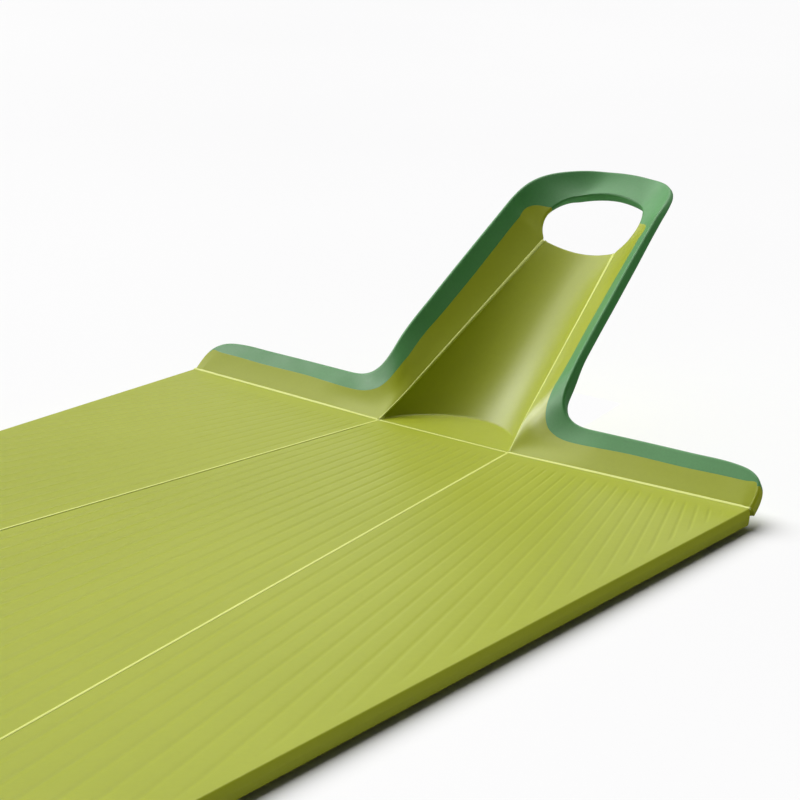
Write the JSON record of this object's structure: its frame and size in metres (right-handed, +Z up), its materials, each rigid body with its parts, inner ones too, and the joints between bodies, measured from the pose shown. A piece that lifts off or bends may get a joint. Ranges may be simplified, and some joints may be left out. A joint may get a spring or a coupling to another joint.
{
  "type": "folding cutting board",
  "caption": "Folding cutting board: ribbed panels on living hinges rise into a chute when the raised, soft-rimmed channel handle is squeezed. Oval hang hole in the handle.",
  "frame": {"origin": "bottom centre of the bounding box, on the plane of the feet", "axes": "+X across the board to the right, +Y along the board towards the raised handle, +Z up out of the cutting face"},
  "size_m": [0.2116, 0.3804, 0.0723],
  "materials": {
    "board_plastic": "satin moulded polypropylene, lime",
    "hinge_plastic": "thinned polypropylene at the living hinges, paler",
    "grip_soft": "soft-touch elastomer, satin, dark green",
    "foot_soft": "soft elastomer, dark green"
  },
  "bodies": {
    "centre": {"centre_panel": "board_plastic", "left_fold_web": "hinge_plastic", "right_fold_web": "hinge_plastic", "scoop_web": "hinge_plastic", "centre_foot_back_left": "foot_soft", "centre_foot_back_right": "foot_soft", "centre_foot_front_left": "foot_soft", "centre_foot_front_right": "foot_soft"},
    "left_side": {"left_panel": "board_plastic", "left_base_web": "hinge_plastic", "left_foot_back": "foot_soft", "left_foot_middle": "foot_soft", "left_foot_front": "foot_soft"},
    "right_side": {"right_panel": "board_plastic", "right_base_web": "hinge_plastic", "right_foot_back": "foot_soft", "right_foot_middle": "foot_soft", "right_foot_front": "foot_soft"},
    "left_base_strip": {"left_base": "board_plastic", "left_base_grip": "grip_soft", "left_corner_flex": "board_plastic", "left_corner_grip": "grip_soft"},
    "right_base_strip": {"right_base": "board_plastic", "right_base_grip": "grip_soft", "right_corner_flex": "board_plastic", "right_corner_grip": "grip_soft"},
    "handle": {"handle_scoop": "board_plastic", "left_wing_web": "hinge_plastic", "right_wing_web": "hinge_plastic", "arch_centre_grip": "grip_soft"},
    "left_handle_wing": {"left_wing": "board_plastic", "left_wing_grip": "grip_soft", "left_arch_grip": "grip_soft"},
    "right_handle_wing": {"right_wing": "board_plastic", "right_wing_grip": "grip_soft", "right_arch_grip": "grip_soft"}
  },
  "joints": [
    {"name": "left_fold", "type": "hinge", "parent": "centre", "child": "left_side", "pos_m": [-0.02464, 0.08576, 0.0062], "axis": [0.119, 0.9929, 0], "range_deg": [0, 60]},
    {"name": "right_fold", "type": "hinge", "parent": "centre", "child": "right_side", "pos_m": [0.02464, 0.08576, 0.0062], "axis": [0.119, -0.9929, 0], "range_deg": [0, 60]},
    {"name": "left_base_hinge", "type": "hinge", "parent": "left_side", "child": "left_base_strip", "pos_m": [-0.02464, 0.08576, 0.0062], "axis": [-0.9988, 0.0497, 0], "range_deg": [0, 32.74]},
    {"name": "right_base_hinge", "type": "hinge", "parent": "right_side", "child": "right_base_strip", "pos_m": [0.02464, 0.08576, 0.0062], "axis": [-0.9988, -0.0497, 0], "range_deg": [0, 32.74]},
    {"name": "handle_tilt", "type": "hinge", "parent": "centre", "child": "handle", "pos_m": [0, 0.08576, 0.0062], "axis": [-1, 0, 0], "range_deg": [0, 33.16]},
    {"name": "left_wing_fold", "type": "hinge", "parent": "handle", "child": "left_handle_wing", "pos_m": [-0.02464, 0.08576, 0.0062], "axis": [0.119, 0.8362, 0.5354], "range_deg": [0, 61.6], "deforming": ["left_corner_flex", "left_corner_grip"]},
    {"name": "right_wing_fold", "type": "hinge", "parent": "handle", "child": "right_handle_wing", "pos_m": [0.02464, 0.08576, 0.0062], "axis": [0.119, -0.8362, -0.5354], "range_deg": [0, 61.6], "deforming": ["right_corner_flex", "right_corner_grip"]}
  ],
  "couplings": [
    {"joint": "right_fold", "follows": "left_fold", "ratio": 1},
    {"joint": "left_base_hinge", "follows": "left_fold", "ratio": 0.54563},
    {"joint": "right_base_hinge", "follows": "left_fold", "ratio": 0.54563},
    {"joint": "handle_tilt", "follows": "left_fold", "ratio": 0.55251},
    {"joint": "left_wing_fold", "follows": "left_fold", "ratio": 1.0264},
    {"joint": "right_wing_fold", "follows": "left_fold", "ratio": 1.0264}
  ]
}
